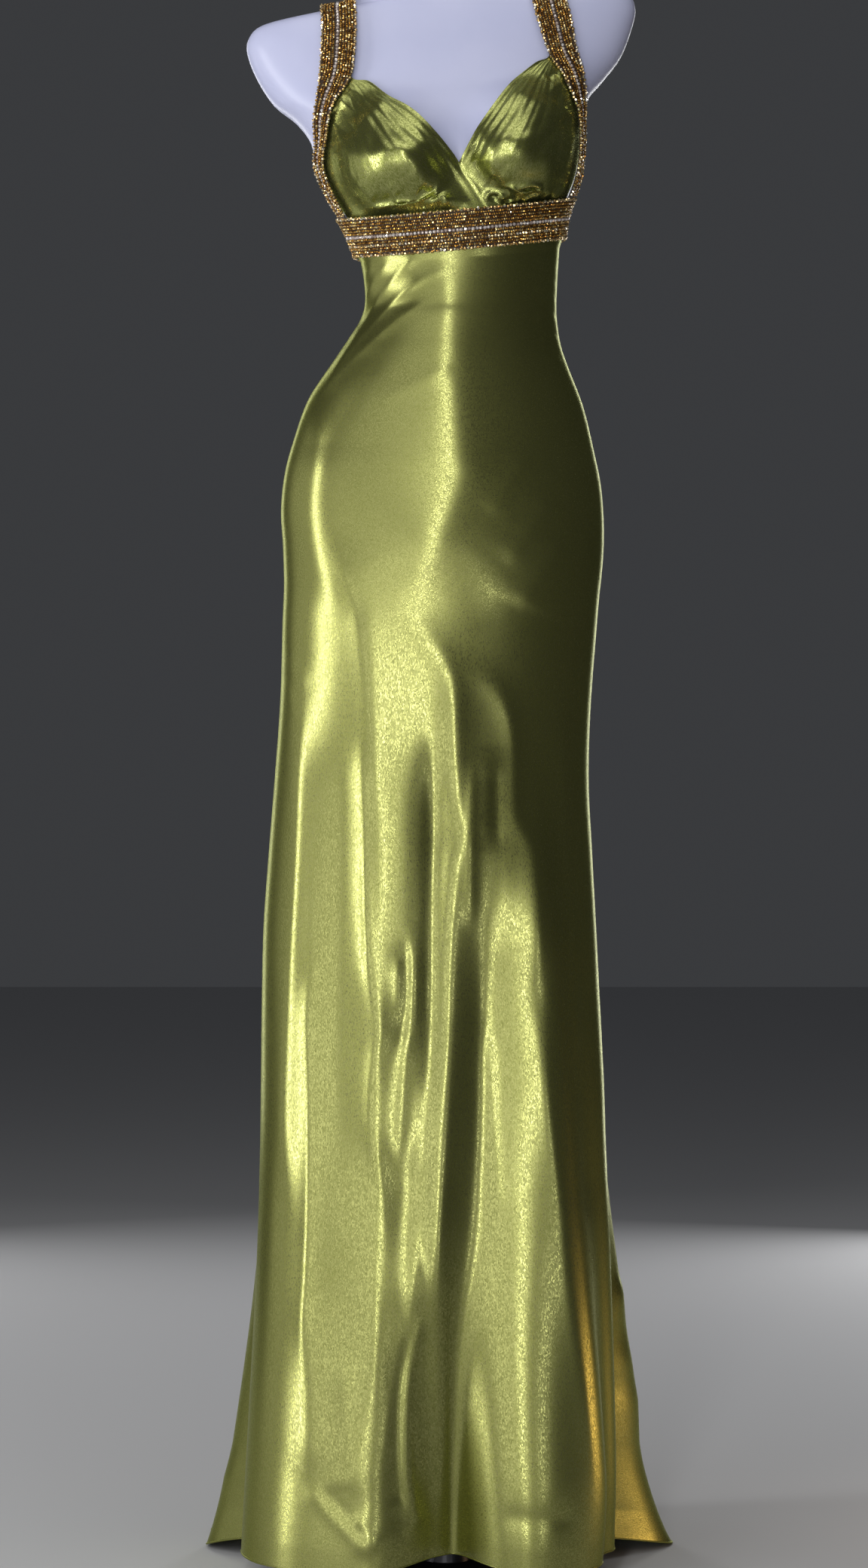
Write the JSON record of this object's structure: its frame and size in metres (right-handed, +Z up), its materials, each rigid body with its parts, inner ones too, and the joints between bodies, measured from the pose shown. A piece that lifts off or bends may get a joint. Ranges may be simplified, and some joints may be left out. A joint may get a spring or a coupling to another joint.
{
  "type": "evening gown on dress form",
  "caption": "Floor-length bias-cut satin evening gown with crossed cups, beaded under-bust band and straps and a short train, on a limbless dress form with pole and round foot.",
  "frame": {"origin": "middle of the underside of the stand's round foot, on the floor", "axes": "+Z up, -Y is the gown's front, +X towards the wearer's left (the viewer's right)"},
  "size_m": [0.4932, 0.6047, 1.735],
  "materials": {
    "satin": "olive-green satin with a strong soft sheen",
    "bead_trim": "net sewn closely with gold seed beads and clear crystals",
    "form_skin": "smooth pale satin paint",
    "dark_metal": "black satin powder coat"
  },
  "bodies": {
    "root": {"skirt_front": "satin", "skirt_back": "satin", "cup_right": "satin", "cup_left": "satin", "band_front": "bead_trim", "band_back": "bead_trim", "strap_front_right": "bead_trim", "strap_front_left": "bead_trim", "strap_back_right": "bead_trim", "strap_back_left": "bead_trim", "form_torso": "form_skin", "stand_pole": "dark_metal", "stand_foot": "dark_metal"}
  },
  "joints": []
}
